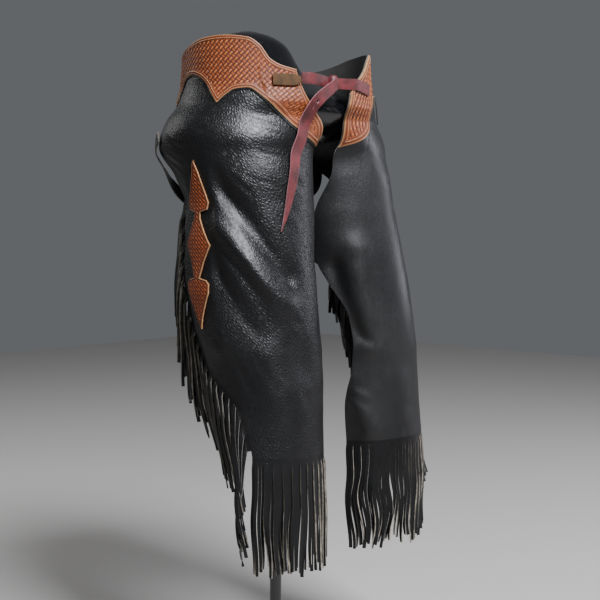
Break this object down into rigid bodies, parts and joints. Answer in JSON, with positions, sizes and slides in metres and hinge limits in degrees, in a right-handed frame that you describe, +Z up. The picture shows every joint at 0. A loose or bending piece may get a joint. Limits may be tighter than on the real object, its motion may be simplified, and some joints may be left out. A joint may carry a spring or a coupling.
{
  "type": "leather chaps on a dress form stand",
  "caption": "Short black leather chaps with fringe, stamped russet yokes and a burgundy tie, worn on a black hip form on a pole.",
  "frame": {"origin": "centre of the stand foot's underside, on the floor", "axes": "+Z up the pole, -Y the way the wearer faces, +X towards the wearer's left"},
  "size_m": [0.4494, 0.3468, 1.09],
  "materials": {
    "black_leather": "satin",
    "russet_leather": "satin",
    "tan_suede": "matte",
    "burgundy_latigo": "satin",
    "form_plastic": "gloss",
    "stand_steel": "satin"
  },
  "bodies": {
    "root": {"leg_right": "black_leather", "leg_left": "black_leather", "yoke_right": "russet_leather", "yoke_left": "russet_leather", "fringe_outer_right": "black_leather", "fringe_outer_left": "black_leather", "fringe_hem_right": "black_leather", "fringe_hem_left": "black_leather", "applique_right": "russet_leather", "applique_left": "russet_leather", "thigh_strap_right": "black_leather", "thigh_strap_left": "black_leather", "back_strap": "black_leather", "tie_band_right": "burgundy_latigo", "tie_band_left": "burgundy_latigo", "tie_knot": "burgundy_latigo", "tie_tail": "burgundy_latigo", "tie_end": "tan_suede", "dress_form": "form_plastic", "stand_pole": "stand_steel", "stand_foot": "stand_steel"}
  },
  "joints": []
}
